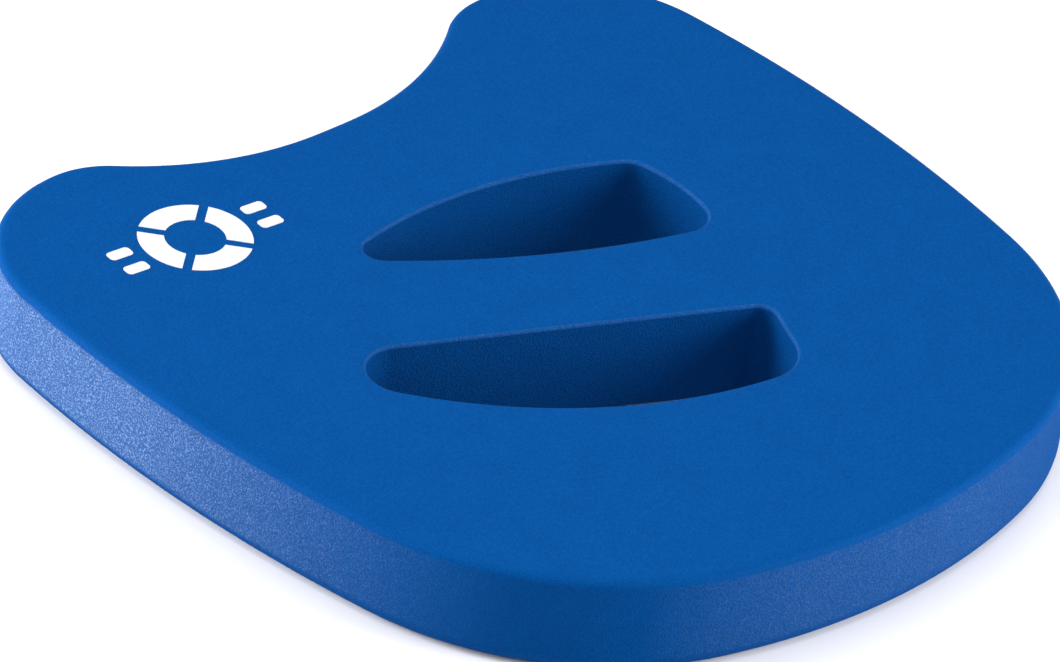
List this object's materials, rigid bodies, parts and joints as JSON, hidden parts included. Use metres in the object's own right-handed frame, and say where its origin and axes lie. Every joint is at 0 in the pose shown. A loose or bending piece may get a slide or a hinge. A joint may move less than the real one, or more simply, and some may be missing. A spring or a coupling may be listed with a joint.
{
  "type": "kickboard float",
  "caption": "Shield-shaped foam swimming board with a hollow between two tail horns, slanted hand slots either side of a grip bar, and a plain printed ring emblem.",
  "frame": {"origin": "middle of the board's footprint, on the surface it lies on", "axes": "+Z out of the printed face, +Y towards the nose, +X towards the side that carries the emblem"},
  "size_m": [0.33, 0.326, 0.0382],
  "materials": {
    "upper_foam": "matt closed-cell EVA foam, skinned top, sanded edge",
    "lower_foam": "matt closed-cell EVA foam, skinned underside, sanded edge",
    "contact_cement": "dark cured contact cement",
    "white_ink": "flat white screen-printed ink"
  },
  "bodies": {
    "root": {"upper_foam_sheet": "upper_foam", "lower_foam_sheet": "lower_foam", "bond_film": "contact_cement", "emblem_ring": "white_ink", "emblem_bars": "white_ink"}
  },
  "joints": []
}
